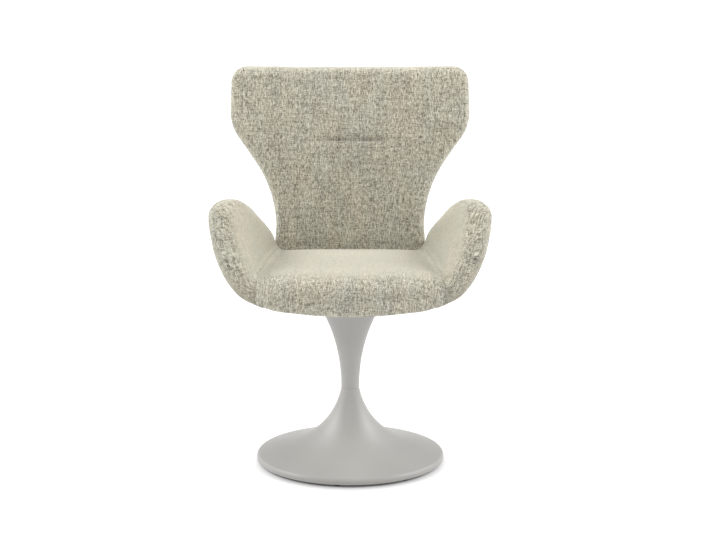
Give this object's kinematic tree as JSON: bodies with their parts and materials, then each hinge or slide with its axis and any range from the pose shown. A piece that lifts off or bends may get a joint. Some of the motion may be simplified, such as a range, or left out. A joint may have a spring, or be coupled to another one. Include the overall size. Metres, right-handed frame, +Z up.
{
  "type": "pedestal swivel armchair",
  "caption": "Upholstered armchair with a winged back and petal arms that turns on a trumpet-shaped metal pedestal.",
  "frame": {"origin": "on the floor under the middle of the pedestal, on the swivel's axis", "axes": "+Z up, -Y the way the sitter faces at rest, +X to the sitter's left"},
  "size_m": [0.6686, 0.5735, 0.9494],
  "materials": {
    "pedestal_paint": "satin warm grey powder coat",
    "plate_paint": "matte black paint on steel",
    "glide_rubber": "black plastic glides",
    "black_nylon": "black nylon",
    "steel": "zinc-plated steel",
    "plywood": "plain birch plywood",
    "upholstery": "beige and grey speckled woven fabric over foam"
  },
  "bodies": {
    "pedestal": {"trumpet_base": "pedestal_paint", "ballast_plate": "plate_paint", "foot_screws": "steel", "glides": "glide_rubber", "swivel_post": "plate_paint", "flange_screws": "steel", "neck_sleeve": "black_nylon", "neck_ring": "pedestal_paint", "lower_bush": "black_nylon", "upper_bush": "black_nylon", "thrust_washer": "black_nylon"},
    "chair": {"column_cone": "pedestal_paint", "seat_plate": "plate_paint", "arm_frame_left": "plate_paint", "arm_frame_right": "plate_paint", "back_bracket_left": "plate_paint", "back_bracket_right": "plate_paint", "spindle": "steel", "spindle_clip": "steel", "cone_screws": "steel", "seat_bolts": "steel", "tee_nuts": "steel", "arm_screws": "steel", "back_screws": "steel", "seat_board": "plywood", "back_board": "plywood", "seat_underpad": "upholstery", "seat_cushion": "upholstery", "arm_pad_left": "upholstery", "arm_pad_right": "upholstery", "back_front_pad": "upholstery", "back_rear_pad": "upholstery"}
  },
  "joints": [
    {"name": "seat_swivel", "type": "hinge", "parent": "pedestal", "child": "chair", "pos_m": [0, 0, 0.1826], "axis": [0, 0, 1], "continuous": true}
  ]
}
